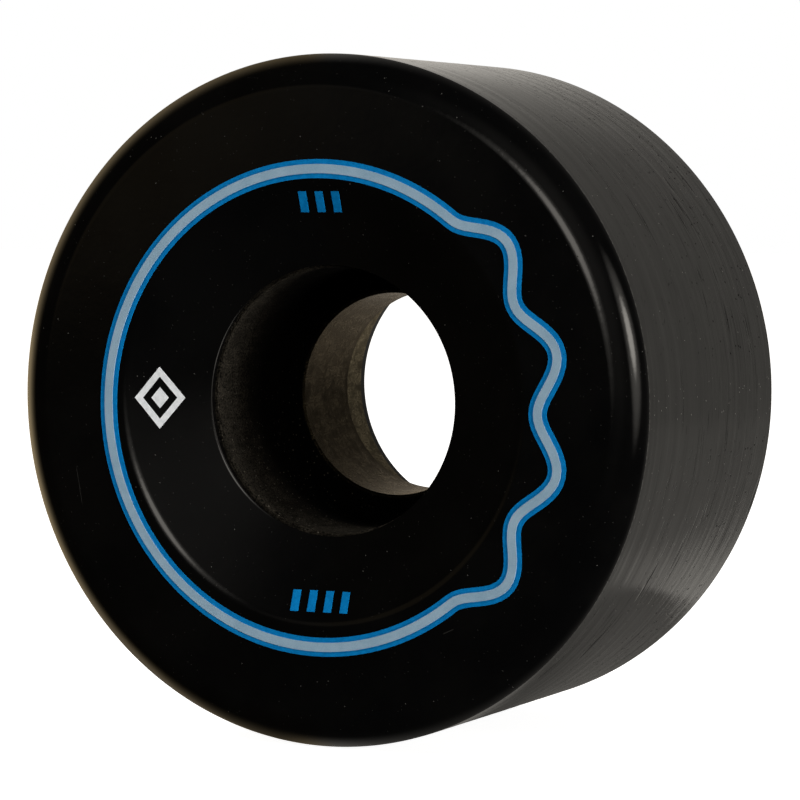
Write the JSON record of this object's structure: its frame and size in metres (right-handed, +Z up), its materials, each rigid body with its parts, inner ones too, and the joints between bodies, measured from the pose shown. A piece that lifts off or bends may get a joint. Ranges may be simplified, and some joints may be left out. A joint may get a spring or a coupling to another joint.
{
  "type": "roller skate wheel",
  "caption": "Roller skate wheel: black cast urethane tyre on a moulded core with a bearing seat at each end, a recessed front face with a printed ring and a turned tread.",
  "frame": {"origin": "middle of the wheel, on the axle's axis", "axes": "+Y along the axle from the printed front face to the plain rear face, +Z up, +X to the right as seen from the front"},
  "size_m": [0.057, 0.032, 0.057],
  "materials": {
    "urethane": "glossy cast faces, fine turned tread",
    "core_nylon": "grainy moulded",
    "blue_ink": "printed",
    "silver_ink": "printed",
    "white_ink": "printed"
  },
  "bodies": {
    "root": {"tyre": "urethane", "core": "core_nylon", "ring_base": "blue_ink", "ring_band": "silver_ink", "top_mark": "blue_ink", "bottom_mark": "blue_ink", "side_mark": "white_ink"}
  },
  "joints": []
}
